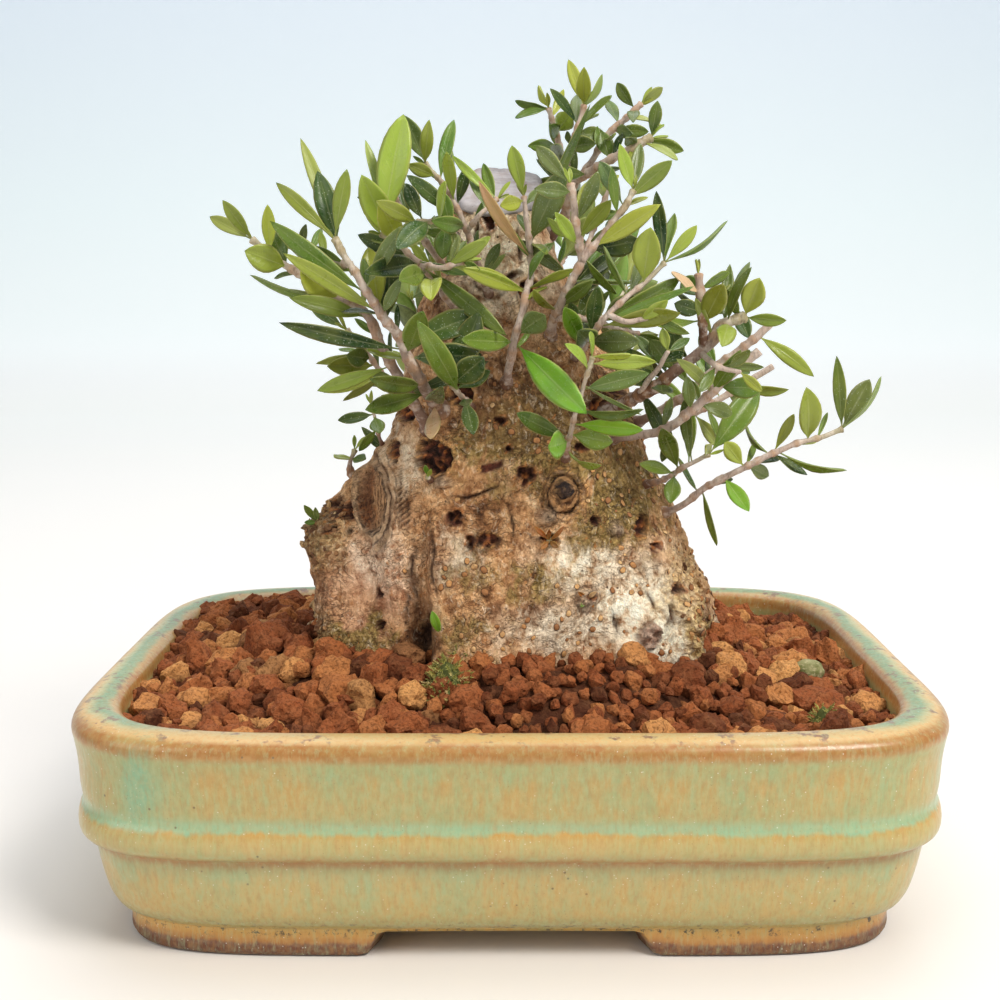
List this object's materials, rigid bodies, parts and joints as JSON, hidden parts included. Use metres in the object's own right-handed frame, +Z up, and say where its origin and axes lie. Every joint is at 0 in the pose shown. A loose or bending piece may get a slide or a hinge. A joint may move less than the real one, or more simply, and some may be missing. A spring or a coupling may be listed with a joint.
{
  "type": "potted bonsai tree",
  "caption": "Wild olive bonsai with a massive gnarled trunk and short leafy shoots, in a shallow glazed rectangular pot with rounded corners and corner feet.",
  "frame": {"origin": "centre of the bounding box in X and Y, at the bottom of the feet", "axes": "+Z up, the pot's front faces -Y, +X towards the right of the front view"},
  "size_m": [0.155, 0.12, 0.1545],
  "materials": {
    "glazed_pot": "glossy, mottled green over ochre, unglazed under the feet",
    "clay_granules": "matt, crumbly",
    "bark": "rough bark",
    "cut_paste": "matt grey paste",
    "screen_plastic": "matt",
    "leafy_shoot": "leathery green leaves on grey-brown twigs"
  },
  "bodies": {
    "root": {"pot": "glazed_pot", "soil": "clay_granules", "trunk": "bark", "wound_seal": "cut_paste", "drain_screen_left": "screen_plastic", "drain_screen_right": "screen_plastic", "shoot_left_long": "leafy_shoot", "shoot_left_low": "leafy_shoot", "shoot_left_behind": "leafy_shoot", "shoot_left_twig": "leafy_shoot", "shoot_left_stub": "leafy_shoot", "shoot_high_left": "leafy_shoot", "shoot_cut_left": "leafy_shoot", "shoot_centre_left": "leafy_shoot", "shoot_cross_twig": "leafy_shoot", "shoot_centre_front": "leafy_shoot", "shoot_dark_front": "leafy_shoot", "shoot_top": "leafy_shoot", "shoot_fork": "leafy_shoot", "shoot_mid_right": "leafy_shoot", "shoot_front_twig": "leafy_shoot", "shoot_right_gnarled": "leafy_shoot", "shoot_right_cut_front": "leafy_shoot", "shoot_right_cut_back": "leafy_shoot", "shoot_right_far": "leafy_shoot", "shoot_right_low": "leafy_shoot", "shoot_right_low_twig": "leafy_shoot", "shoot_back_left_high": "leafy_shoot", "shoot_back_left": "leafy_shoot", "shoot_back_left_low": "leafy_shoot", "shoot_back_middle_high": "leafy_shoot", "shoot_back_middle": "leafy_shoot", "shoot_back_middle_low": "leafy_shoot", "shoot_back_right_high": "leafy_shoot", "shoot_back_right": "leafy_shoot", "shoot_back_right_low": "leafy_shoot"}
  },
  "joints": []
}
